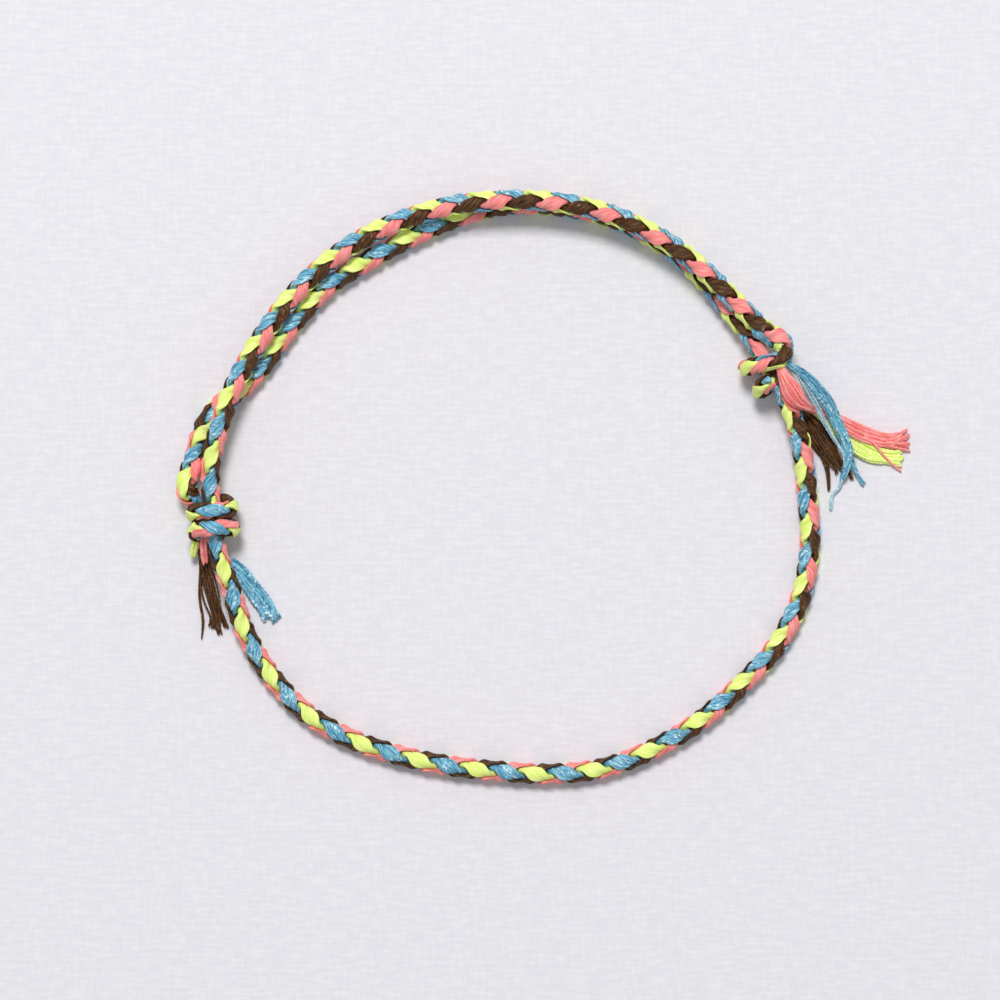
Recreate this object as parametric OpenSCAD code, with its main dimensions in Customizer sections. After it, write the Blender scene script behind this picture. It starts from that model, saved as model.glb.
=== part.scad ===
// Braided bracelet: one cord of four strands laid in a loop, its ends run
// side by side across the back and are knotted round each other's cord, so
// that the two knots slide. Sizes in mm, floor at z = 0, centre at the origin.

/* [Cord] */
// Width of the round braided cord
cord_d = 2.1; // [1.5:0.1:3]
// Share of the cord's section that the strands fill
strand_fill = 0.94; // [0.7:0.01:0.96]
// Turns already made where the braid starts, sets which colour lies on top
first_turn = 0.57; // [0:0.01:1]
// Overall size, 1 is the bracelet as worn
size = 1; // [0.9:0.01:1.1]

/* [Loop] */
// Place of the loop's centre along X, before the whole is centred
loop_x = -4.1; // [-8:0.1:0]
// Height of the cord's middle where it lies on the floor
floor_z = 1.06; // [0.8:0.05:2]
// Height of the middle of each knot
knot_z = 2.65; // [2:0.05:4]

/* [Knots] */
// Girth of the wrapping cord beside the loose cord
wrap_girth = 0.72; // [0.6:0.01:1]
// Share of the section that the strands fill where the cord is wrapped
wrap_fill = 0.71; // [0.6:0.01:0.92]
// Girth of the cord on its tightest bend
bend_girth = 0.58; // [0.5:0.01:0.7]
// Share of the section that the strands fill on the tightest bend
bend_fill = 0.52; // [0.5:0.01:0.9]
// Girth of the cord that runs through a knot
core_girth = 0.85; // [0.6:0.01:1]
// Middle of the left knot
left_knot_xy = [-32.7, -2.4]; // [-40:0.1:40]
// Way the left knot runs, away from the doubled cords
left_knot_way = -84; // [-120:1:-60]
// Middle of the right knot
right_knot_xy = [22.2, 12.45]; // [-40:0.05:40]
// Way the right knot runs, away from the doubled cords
right_knot_way = -58; // [-90:1:-30]

/* [Hidden] */

// Middle of the whole outline, tails included, as the tables give it
middle = [0.58, -0.24, 0];

blue = [0.16, 0.62, 0.80];
yellow = [0.80, 0.95, 0.22];
pink = [0.98, 0.36, 0.38];
brown = [0.24, 0.14, 0.10];

// Cord wrapped round the left knot's core, from its free end to the loop.
// Columns: angle round the core from the top, place along the core, distance
// from the core, lean of the braid's face, length of one turn, share of girth,
// and on a tight bend or twist the share that the strands fill.
ROUND = 0; ALONG = 1; OUT = 2; LEAN = 3; PITCH = 4; SHARE = 5; FILL = 6;
left_wraps = [
    [860, 2.75, 1.9, 170, 5.2, 1, 0.66],
    [830, 2.3, 1.9, 155, 5.2, 0.98, 0.66],
    [800, 2, 1.9, 140, 5.2, 0.96, 0.6],
    [760, 1.8, 1.85, 135, 5.2, 0.98, 0.49],
    [720, 1.8, 1.85, 175, 5.2, 1, 0.44],
    [680, 1.95, 1.85, 220, 5.3, 1, 0.44],
    [640, 2.1, 1.85, 235, 6, 1, 0.47],
    [600, 1.95, 1.8, 225, 6.6, 1, 0.54],
    [560, 1.55, 1.8, 205, 6.6, 1, 0.58],
    [520, 1, 1.8, 195, 6.4, 1, 0.6],
    [480, 0.5, 1.85, 200, 6, 1],
    [440, 0.1, 1.9, 205, 5.6, 1],
    [400, 0.05, 1.85, 200, 5.3, 1],
    [360, 0.1, 1.85, 180, 5.2, 1],
    [320, 0.2, 1.85, 165, 5.1, 1],
    [280, 0.1, 1.85, 160, 4.8, 1],
    [235, -0.4, 1.8, 170, 4.8, 1, 0.67],
    [190, -0.95, 1.8, 180, 4.8, 1, 0.59],
    [155, -1.1, 1.95, 180, 4.8, 1, 0.5]
];

// The cord from the left wraps across the back and through the right knot,
// round the front, through the left knot and across the back once more.
// Columns: angle on the loop, distance from its centre, lift off the floor,
// roll of the braid's face from the top to the inside, length of a turn, girth,
// and on a tight bend the share that the strands fill.
AT = 0; REACH = 1; UP = 2; ROLL = 3; TURN = 4; GIRTH = 5;
loop_rows = [
    [182.3, 30.75, 0.75, 4, 4.8, 0.93, 0.45],
    [181.3, 31.1, 1.2, -17, 4.8, 1.08, 0.46],
    [179.6, 31.12, 1.38, -36, 4.9, 1.12, 0.52],
    [177.6, 30.9, 1.2, -40, 5.1, 1.08, 0.6],
    [175.2, 30.6, 0.75, -25, 5.4, 1.02, 0.69],
    [172.6, 30.45, 0.3, -3, 5.7, 1, 0.77],
    [169.5, 30.2, 0, 18, 5.7, 1, 0.79],
    [166, 29.6, 0, 30, 5.7, 1, 0.82],
    [162.5, 28.6, 0, 22, 5.7, 1, 0.86],
    [158.5, 27.35, 0, 0, 5.7, 1, 0.86],
    [154, 26.6, 0, -15, 5.7, 1, 0.9],
    [148, 26.3, 0, -20, 5.7, 1],
    [140, 26.2, 0, -20, 5.7, 1],
    [130, 26.25, 0, -20, 5.7, 1],
    [120, 26, 0, -20, 5.7, 1],
    [110, 26.3, 0, -20, 5.6, 1],
    [100, 27, 0, -20, 5.5, 1],
    [90, 27.9, 0, -30, 5.95, 1],
    [80, 28.4, 0, -45, 5.95, 1],
    [70, 28.8, 0, -60, 5.95, 1],
    [60, 29, 0, -75, 5.9, 1],
    [52, 29, 0, -85, 5.6, 1],
    [46, 28.9, 0.05, -90, 5.7, 1],
    [41, 28.75, 0.3, -90, 5.7, 0.97],
    [36, 28.74, 0.72, -90, 5.7, 0.92],
    [31, 28.95, 1.2, -95, 5.7, 0.87],
    [25.3, 29.1, 1.6, -100, 5.7, 0.85],
    [16.6, 29.75, 1.55, -115, 5.7, 0.88],
    [8, 30.25, 0.95, -130, 5.7, 0.97],
    [-1, 30.6, 0.35, -135, 5.8, 1],
    [-10, 31.4, 0.05, -135, 5.8, 1],
    [-20, 32, 0, -135, 5.9, 1],
    [-30, 31.9, 0, -140, 5.75, 1],
    [-40, 31.2, 0, -150, 5.75, 1],
    [-50, 30.8, 0, -160, 5.75, 1],
    [-60, 30.4, 0, -170, 5.75, 1],
    [-70, 30, 0, -175, 5.75, 1],
    [-80, 29.2, 0, -180, 5.75, 1],
    [-90, 28.5, 0, -180, 5.9, 1],
    [-100, 28.4, 0, -180, 5.9, 1],
    [-110, 28.7, 0, -180, 5.9, 1],
    [-120, 29.3, 0, -180, 5.9, 1],
    [-130, 29.8, 0, -180, 5.8, 1],
    [-140, 29.7, 0, -180, 5.8, 1],
    [-150, 29.3, 0.3, -180, 5.8, 1],
    [-159, 28.7, 0.95, -180, 5.8, 0.97],
    [-167.2, 28.8, 1.55, -180, 5.7, 0.88],
    [-175.2, 28.7, 1.6, -180, 5.7, 0.85],
    [-184.1, 28.8, 1.75, -185, 5.7, 0.9],
    [-190, 28.55, 2.05, -195, 5.7, 0.97],
    [-197, 28.3, 2.2, -215, 5.7, 1],
    [-205, 28, 2, -225, 5.7, 1],
    [-213, 27.85, 1.8, -225, 5.7, 1],
    [-221, 27.9, 1.65, -225, 5.7, 1],
    [-230, 28, 1.55, -225, 5.7, 1],
    [-240, 28.1, 1.45, -230, 5.7, 1],
    [-250, 28.1, 1.65, -235, 5.6, 1],
    [-260, 28.2, 2, -240, 5.5, 1],
    [-270, 28.3, 2.25, -250, 5.5, 1],
    [-280, 28.6, 2.25, -250, 5.5, 1],
    [-290, 29, 2.25, -250, 5.5, 1],
    [-300, 29.2, 2.25, -250, 5.5, 1],
    [-308, 29.35, 2.25, -255, 5.6, 1],
    [-315, 29.4, 2.4, -262, 5.6, 1],
    [-319.5, 29.5, 2.5, -268, 5.3, 1],
    [-323.2, 29.7, 2.54, -270, 5, 1],
    [-326.3, 29.95, 2.6, -274, 4.85, 1, 0.83],
    [-328.8, 30.2, 2.63, -282, 4.85, 1.1, 0.7],
    [-330.8, 30.68, 2.58, -290, 4.85, 1.18, 0.62],
    [-332.9, 31.28, 2.5, -294, 4.85, 1.19, 0.52]
];

// Cord wrapped round the right knot's core, from the loop to its free end,
// with the columns of the left knot.
right_wraps = [
    [296, 0.3, 2.4, 264, 4.85, 1.18, 0.48],
    [315, 0.72, 2.2, 255, 4.9, 1.1, 0.5],
    [345, 0.55, 1.9, 262, 4.8, 1, 0.5],
    [375, 0.2, 1.85, 285, 5.4, 1, 0.45],
    [405, -0.12, 1.85, 325, 5.4, 1, 0.43],
    [435, -0.25, 1.9, 358, 5.8, 0.98, 0.4],
    [462, -0.32, 1.92, 390, 6.2, 0.94, 0.34],
    [490, -0.25, 1.88, 428, 6.2, 0.88, 0.32],
    [516, 0.05, 1.85, 472, 6, 0.82, 0.31],
    [533, 0.7, 1.85, 512, 5.5, 0.78, 0.34],
    [534, 1.5, 1.85, 535, 4.9, 0.78, 0.36],
    [518, 2.1, 1.85, 540, 4.8, 0.84, 0.4],
    [490, 2.4, 1.9, 540, 4.9, 0.92, 0.32],
    [457, 2.35, 1.95, 540, 5.4, 1, 0.52],
    [424, 2.15, 1.95, 540, 5.4, 1, 0.6],
    [394, 2.02, 1.92, 540, 5.4, 1],
    [366, 1.95, 1.9, 540, 5.4, 1]
];

// Corners of one strand's section in a cord of radius 1, from the cord's
// middle. Columns: out through the top, across. Over its neighbour a strand
// is a wide cap, and a sixth of a turn on it is the block beneath the next.
cap = [[1.00, 0], [0.80, 0.60], [0.68, 0.68], [0.68, -0.68], [0.80, -0.60]];
block = [[0.78, 0.60], [-0.32, 0.60], [-0.32, 0.03], [0.68, 0.03], [0.97, 0.05]];
corners = len(cap);
sixths = 6;
pair_lag = 0.25;
step = 0.02;
// Length of a sixth of a turn beside the cord's radius
rise = 0.9;

// Vectors
function unit(v) = v / norm(v);
function first3(v) = [v[0], v[1], v[2]];
function mean(points) = [for (c = [0:1]) [for (p = points) p[c]] * [for (p = points) 1] / len(points)];

// Share that the strands fill at a row: less where the cord is drawn tight
function fill_at(row, girth) =
    is_undef(row[FILL])
        ? lookup(girth, [[bend_girth, bend_fill], [wrap_girth, wrap_fill], [core_girth, strand_fill]])
        : row[FILL];

// A row of a knot's table as place, face, length of turn, girth and fill
function wrap_point(row, xy, way) =
    let (
        along = [cos(way), sin(way), 0],
        side = [sin(way), -cos(way), 0],
        radial = [side[0] * sin(row[ROUND]), side[1] * sin(row[ROUND]), cos(row[ROUND])],
        place = [xy[0], xy[1], knot_z] + along * row[ALONG] + radial * row[OUT],
        face = radial * cos(row[LEAN]) + along * sin(row[LEAN]),
        girth = wrap_girth * row[SHARE]
    )
    concat(place, face, [row[PITCH], girth, fill_at(row, girth)]);

// A row of the loop's table in the same form
function loop_point(row) =
    let (
        a = row[AT],
        inside = [-cos(a), -sin(a), 0],
        place = [loop_x + row[REACH] * cos(a), row[REACH] * sin(a), floor_z + row[UP]],
        face = [0, 0, cos(row[ROLL])] + inside * sin(row[ROLL])
    )
    concat(place, face, [row[TURN], row[GIRTH], fill_at(row, row[GIRTH])]);

route = concat(
    [for (row = left_wraps) wrap_point(row, left_knot_xy, left_knot_way)],
    [for (row = loop_rows) loop_point(row)],
    [for (row = right_wraps) wrap_point(row, right_knot_xy, right_knot_way)]
);
last = len(route) - 1;

// Length of each piece of the route and the turns made up to each row
reach = [for (i = [0:last - 1]) norm(first3(route[i + 1]) - first3(route[i]))];
turns = [for (i = 0, t = first_turn; i <= last;
    t = t + (i < last ? 2 * reach[i] / (route[i][6] + route[i + 1][6]) : 0), i = i + 1) t];
turn_table = [for (i = [0:last]) [turns[i], i]];

// Slope of the route at a row, weighted by the lengths on both sides
function slope(i) =
    i == 0 ? (route[1] - route[0]) / reach[0]
    : i == last ? (route[last] - route[last - 1]) / reach[last - 1]
    : let (before = (route[i] - route[i - 1]) / reach[i - 1], after = (route[i + 1] - route[i]) / reach[i])
        (before * reach[i] + after * reach[i - 1]) / (reach[i] + reach[i - 1]);
slopes = [for (i = [0:last]) slope(i)];

// Smooth curve through the rows at a fractional row number
function on_route(f) =
    let (
        g = max(0, min(last - 0.0001, f)),
        i = floor(g),
        t = g - i,
        rest = 1 - t
    )
    route[i] * (1 + 2 * t) * rest * rest + slopes[i] * reach[i] * t * rest * rest
        + route[i + 1] * t * t * (3 - 2 * t) - slopes[i + 1] * reach[i] * t * t * rest;

// Place, face, across, girth and fill of the cord after a number of turns
function station(turn) =
    let (
        f = lookup(turn, turn_table),
        here = on_route(f),
        way = unit(first3(on_route(f + step)) - first3(on_route(f - step))),
        lean = [here[3], here[4], here[5]],
        face = unit(lean - way * (lean * way))
    )
    [first3(here), face, cross(way, face), here[7], here[8]];

// Corners of a strand at a sixth of its turn: cap, block, block mirrored,
// then the same three on the far side. The mirrored block's corners go round
// the other way so that each corner keeps its line along the strand.
function section(k) =
    k < 0 || k >= sixths ? section(k - sixths * floor(k / sixths))
    : k >= sixths / 2 ? [for (p = section(k - sixths / 2)) -p]
    : k == 0 ? cap
    : k == 1 ? block
    : [for (j = [0:corners - 1]) let (p = block[(corners - j) % corners]) [-p[0], p[1]]];

// The same corners drawn in towards their middle to leave a gap between
// strands, more so on the tight bends of a knot
function drawn_in(points, fill) =
    let (m = mean(points))
    [for (p = points) m + (p - m) * fill];

// Two triangles for one patch of a skin, split along the diagonal that is
// the shorter one in the straight form of the same skin
function patch(straight, a, b, c, d) =
    norm(straight[a] - straight[c]) < norm(straight[b] - straight[d])
        ? [[a, b, c], [a, c, d]]
        : [[a, b, d], [b, c, d]];

// A closed solid through rings of corners
module skin(rings, straight) {
    count = len(rings[0]);
    ends = len(rings) - 1;
    flat = [for (ring = straight) for (p = ring) p];
    sides = [for (i = [0:ends - 1]) for (j = [0:count - 1])
        let (a = i * count + j, b = i * count + (j + 1) % count)
            for (face = patch(flat, a, a + count, b + count, b)) face];
    first_cap = [for (j = [1:count - 2]) [0, j, j + 1]];
    last_cap = [for (j = [1:count - 2]) [ends * count, ends * count + j + 1, ends * count + j]];
    polyhedron([for (ring = rings) for (p = ring) p], concat(sides, first_cap, last_cap), convexity = 20);
}

// One strand of the braid, with a ring every sixth of a turn. Strands of a
// pair lie on opposite sides and wind the same way, and the second pair winds
// the other way, a quarter turn on.
module strand(second_pair, far_side) {
    lag = second_pair ? pair_lag : 0;
    sign = far_side ? -1 : 1;
    order = second_pair ? [corners - 1:-1:0] : [0:corners - 1];
    range = [ceil((first_turn - lag) * sixths):floor((turns[last] - lag) * sixths)];
    skin(
        [for (k = range)
            let (
                here = station(k / sixths + lag),
                out = second_pair ? here[2] : here[1],
                across = second_pair ? here[1] : here[2],
                points = drawn_in(section(k), here[4]) * sign * here[3] * cord_d / 2
            )
            [for (j = order) here[0] + out * points[j][0] + across * points[j][1]]],
        [for (k = range) let (points = section(k)) [for (j = order) [points[j][0], points[j][1], k * rise]]]
    );
}

// A lock of loose threads. Columns: x, y, z, half width, half thickness.
lock_sides = 6;
module lock(rows) {
    end = len(rows) - 1;
    rings = [for (i = [0:end])
        let (
            here = first3(rows[i]),
            way = unit(first3(rows[min(end, i + 1)]) - first3(rows[max(0, i - 1)])),
            across = unit(cross([0, 0, 1], way)),
            up = cross(way, across)
        )
        [for (j = [0:lock_sides - 1])
            let (a = 360 * j / lock_sides)
                here + across * rows[i][3] * cos(a) + up * rows[i][4] * sin(a)]];
    skin(rings, rings);
}

module blue_strand() { color(blue) strand(false, false); }
module yellow_strand() { color(yellow) strand(false, true); }
module pink_strand() { color(pink) strand(true, true); }
module brown_strand() { color(brown) strand(true, false); }

// The flat bundle of blue threads that runs out under the left knot's core
module left_blue_tail() {
    color(blue) {
        lock([
            [-32.9, -6.9, 0.40, 0.25, 0.20],
            [-32.0, -7.3, 0.42, 0.50, 0.25],
            [-30.6, -8.1, 0.45, 0.75, 0.30],
            [-28.9, -10.2, 0.45, 0.95, 0.30],
            [-27.5, -12.0, 0.42, 0.95, 0.27],
            [-26.6, -13.1, 0.35, 0.55, 0.20],
            [-26.3, -13.5, 0.30, 0.20, 0.12]
        ]);
        lock([
            [-28.6, -10.8, 0.45, 0.60, 0.26],
            [-27.9, -12.4, 0.40, 0.50, 0.24],
            [-27.4, -13.8, 0.32, 0.15, 0.12]
        ]);
    }
}

module left_yellow_tail() {
    color(yellow) lock([
        [-34.4, -5.8, 2.05, 0.28, 0.22],
        [-34.5, -6.1, 1.90, 0.42, 0.30],
        [-34.6, -6.8, 1.50, 0.38, 0.28],
        [-34.7, -7.3, 1.20, 0.15, 0.12]
    ]);
}

module left_pink_tail() {
    color(pink) lock([
        [-33.55, -5.6, 2.60, 0.28, 0.24],
        [-33.55, -6.0, 2.50, 0.42, 0.30],
        [-33.5, -7.0, 2.00, 0.38, 0.30],
        [-33.4, -8.0, 1.60, 0.14, 0.12]
    ]);
}

// Brown threads that fan out on the floor
module left_brown_tail() {
    color(brown) {
        lock([
            [-33.8, -7.0, 0.75, 0.35, 0.30],
            [-33.6, -7.8, 0.75, 0.65, 0.40],
            [-33.4, -9.2, 0.70, 0.85, 0.40],
            [-32.9, -11.6, 0.55, 0.90, 0.35],
            [-32.6, -13.2, 0.45, 0.55, 0.25],
            [-32.7, -14.5, 0.33, 0.15, 0.12]
        ]);
        lock([
            [-34.0, -9.6, 0.60, 0.35, 0.30],
            [-34.1, -11.2, 0.45, 0.20, 0.20],
            [-33.8, -13.6, 0.35, 0.16, 0.16],
            [-33.9, -15.4, 0.30, 0.12, 0.10]
        ]);
        lock([
            [-32.6, -11.2, 0.55, 0.40, 0.28],
            [-31.9, -13.0, 0.40, 0.30, 0.22],
            [-31.3, -14.5, 0.30, 0.15, 0.12]
        ]);
        lock([
            [-32.7, -12.0, 0.50, 0.40, 0.28],
            [-32.4, -13.6, 0.40, 0.28, 0.20],
            [-32.1, -15.0, 0.30, 0.12, 0.10]
        ]);
    }
}

// Blue threads that leave over the right knot's core and fall to the floor
module right_blue_tail() {
    color(blue) {
        lock([
            [25.1, 11.6, 3.60, 0.28, 0.24],
            [26.1, 10.7, 3.30, 0.60, 0.32],
            [27.25, 9.3, 2.90, 0.82, 0.35],
            [28.3, 7.95, 2.45, 0.95, 0.36],
            [29.2, 6.3, 1.98, 0.95, 0.35],
            [30.1, 4.7, 1.70, 0.75, 0.35],
            [30.7, 3.0, 1.45, 0.60, 0.32],
            [30.5, 1.6, 1.00, 0.50, 0.28],
            [29.9, -0.2, 0.55, 0.35, 0.22],
            [29.2, -1.2, 0.42, 0.30, 0.20],
            [28.95, -2.7, 0.35, 0.12, 0.10]
        ]);
        lock([
            [30.8, 2.9, 1.40, 0.45, 0.28],
            [31.4, 1.4, 0.85, 0.38, 0.25],
            [31.9, 0.5, 0.50, 0.28, 0.20],
            [32.3, -0.1, 0.35, 0.12, 0.10]
        ]);
    }
}

module right_yellow_tail() {
    color(yellow) {
        lock([
            [27.7, 7.0, 1.00, 0.25, 0.20],
            [29.1, 5.75, 0.80, 0.50, 0.26],
            [30.4, 4.75, 0.62, 0.80, 0.28],
            [31.4, 4.05, 0.55, 0.95, 0.28],
            [33.1, 3.1, 0.45, 0.95, 0.26],
            [34.7, 2.85, 0.38, 0.75, 0.24],
            [35.7, 2.95, 0.33, 0.35, 0.20],
            [36.3, 3.1, 0.30, 0.12, 0.10]
        ]);
        lock([
            [33.6, 2.8, 0.42, 0.60, 0.25],
            [35.0, 2.5, 0.36, 0.45, 0.22],
            [36.2, 2.3, 0.30, 0.12, 0.10]
        ]);
    }
}

// The thick end of the pink strand, and its threads past the blue ones
module right_pink_tail() {
    color(pink) {
        lock([
            [23.9, 11.1, 4.35, 0.28, 0.24],
            [24.3, 10.6, 4.55, 0.55, 0.40],
            [24.9, 9.7, 4.50, 0.85, 0.48],
            [25.6, 8.6, 4.20, 0.80, 0.46],
            [26.5, 7.8, 3.10, 0.42, 0.32],
            [27.2, 7.5, 1.95, 0.36, 0.28],
            [28.3, 7.2, 1.35, 0.36, 0.26],
            [30.0, 6.35, 1.10, 0.60, 0.30],
            [31.2, 5.65, 0.97, 0.80, 0.30],
            [33.2, 4.85, 0.78, 0.80, 0.28],
            [34.9, 4.6, 0.60, 0.70, 0.26],
            [36.0, 5.0, 0.45, 0.45, 0.22],
            [37.16, 5.65, 0.30, 0.12, 0.10]
        ]);
        lock([
            [33.2, 4.7, 0.76, 0.60, 0.28],
            [35.0, 4.1, 0.55, 0.55, 0.25],
            [36.2, 3.9, 0.42, 0.45, 0.22],
            [37.0, 3.7, 0.30, 0.12, 0.10]
        ]);
    }
}

// Brown threads that fan out on the floor
module right_brown_tail() {
    color(brown) {
        lock([
            [25.7, 7.6, 0.65, 0.30, 0.25],
            [26.6, 6.6, 0.72, 0.70, 0.36],
            [27.45, 5.0, 0.68, 1.00, 0.40],
            [28.6, 3.45, 0.58, 1.00, 0.38],
            [29.2, 2.65, 0.50, 0.80, 0.32],
            [29.7, 1.95, 0.42, 0.45, 0.24],
            [30.1, 1.4, 0.32, 0.12, 0.10]
        ]);
        lock([
            [28.1, 3.0, 0.52, 0.40, 0.28],
            [28.6, 1.6, 0.40, 0.28, 0.22],
            [28.8, -0.9, 0.30, 0.12, 0.10]
        ]);
        lock([
            [29.5, 2.6, 0.50, 0.40, 0.28],
            [30.6, 1.6, 0.40, 0.26, 0.20],
            [31.2, 0.4, 0.30, 0.10, 0.10]
        ]);
    }
}

module bracelet() {
    blue_strand();
    yellow_strand();
    pink_strand();
    brown_strand();
    left_blue_tail();
    left_yellow_tail();
    left_pink_tail();
    left_brown_tail();
    right_blue_tail();
    right_yellow_tail();
    right_pink_tail();
    right_brown_tail();
}

scale(size) translate(-middle) bracelet();
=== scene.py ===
"""Looks of a braided bracelet: four strands of yarn braided round, laid in a loop,
its ends tied round each other's cord and left as loose threads.

Lengths in the tables are in mm, and every mesh is made in metres, in the frame of
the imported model: floor at z = 0, +Z up, +Y to the doubled stretch at the back.
"""

import bpy
import numpy as np
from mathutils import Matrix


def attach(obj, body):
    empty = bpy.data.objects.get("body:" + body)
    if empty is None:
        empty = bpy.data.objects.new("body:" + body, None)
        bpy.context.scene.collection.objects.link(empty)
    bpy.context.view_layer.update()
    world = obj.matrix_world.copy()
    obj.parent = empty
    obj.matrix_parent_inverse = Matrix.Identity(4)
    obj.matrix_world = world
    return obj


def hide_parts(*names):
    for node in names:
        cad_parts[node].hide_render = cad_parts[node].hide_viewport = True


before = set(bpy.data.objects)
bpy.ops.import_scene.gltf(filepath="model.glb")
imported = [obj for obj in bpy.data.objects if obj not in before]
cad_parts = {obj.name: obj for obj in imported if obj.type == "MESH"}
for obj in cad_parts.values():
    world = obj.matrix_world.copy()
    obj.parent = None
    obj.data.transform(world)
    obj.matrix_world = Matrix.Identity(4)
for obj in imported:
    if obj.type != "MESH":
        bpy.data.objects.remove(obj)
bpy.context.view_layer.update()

MM = 0.001
UP = np.array([0.0, 0.0, 1.0])

# Camera

# Middle of the finished bracelet, and of the view, in the tables' own frame
MIDDLE = np.array([0.58, -0.24, 0.0])
VIEW_MIDDLE = np.array([-4.1, -1.45, 0.0])
# Height of the eye, and width of the floor that it sees
VIEW_HEIGHT = 450
VIEW_WIDTH = 100
SENSOR = 36


def camera():
    """A camera straight above the loop, with the photo's framing on the floor."""
    data = bpy.data.cameras.new("view")
    data.sensor_width = SENSOR
    data.lens = SENSOR * VIEW_HEIGHT / VIEW_WIDTH
    data.clip_start = 0.01
    data.clip_end = 10
    eye = bpy.data.objects.new("view", data)
    eye.location = (VIEW_MIDDLE - MIDDLE + UP * VIEW_HEIGHT) * MM
    bpy.context.collection.objects.link(eye)
    bpy.context.scene.camera = eye


camera()

# Cord's route

CORD_RADIUS = 0.97
# Heights of the cord's middle on the floor and of the knots' core, and x of the loop's
# centre
FLOOR_Z = 1.06
KNOT_Z = 2.65
LOOP_X = -4.1
# Girth of a knot's turns beside the cord's, and how far the braid has turned at its start
WRAP_GIRTH = 0.72
FIRST_TURN = 0.57
# Middle of each knot, and the way in degrees that its core runs
LEFT_KNOT = {"xy": (-32.7, -2.4), "way": -84}
RIGHT_KNOT = {"xy": (22.2, 12.45), "way": -58}

# Angle round the core, place along it, distance from it, lean of the braid's
# face, length of one turn, share of girth
LEFT_WRAPS = [
    (860, 2.75, 1.9, 170, 5.2, 1),
    (830, 2.3, 1.9, 155, 5.2, 0.98),
    (800, 2.0, 1.9, 140, 5.2, 0.96),
    (760, 1.8, 1.85, 135, 5.2, 0.98),
    (720, 1.8, 1.85, 175, 5.2, 1),
    (680, 1.95, 1.85, 220, 5.3, 1),
    (640, 2.1, 1.85, 235, 6.0, 1),
    (600, 1.95, 1.8, 225, 6.6, 1),
    (560, 1.55, 1.8, 205, 6.6, 1),
    (520, 1.0, 1.8, 195, 6.4, 1),
    (480, 0.5, 1.85, 200, 6.0, 1),
    (440, 0.1, 1.9, 205, 5.6, 1),
    (400, 0.05, 1.85, 200, 5.3, 1),
    (360, 0.1, 1.85, 180, 5.2, 1),
    (320, 0.2, 1.85, 165, 5.1, 1),
    (280, 0.1, 1.85, 160, 4.8, 1),
    (235, -0.4, 1.8, 170, 4.8, 1),
    (190, -0.95, 1.8, 180, 4.8, 1),
    (155, -1.1, 1.95, 180, 4.8, 1),
]

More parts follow.
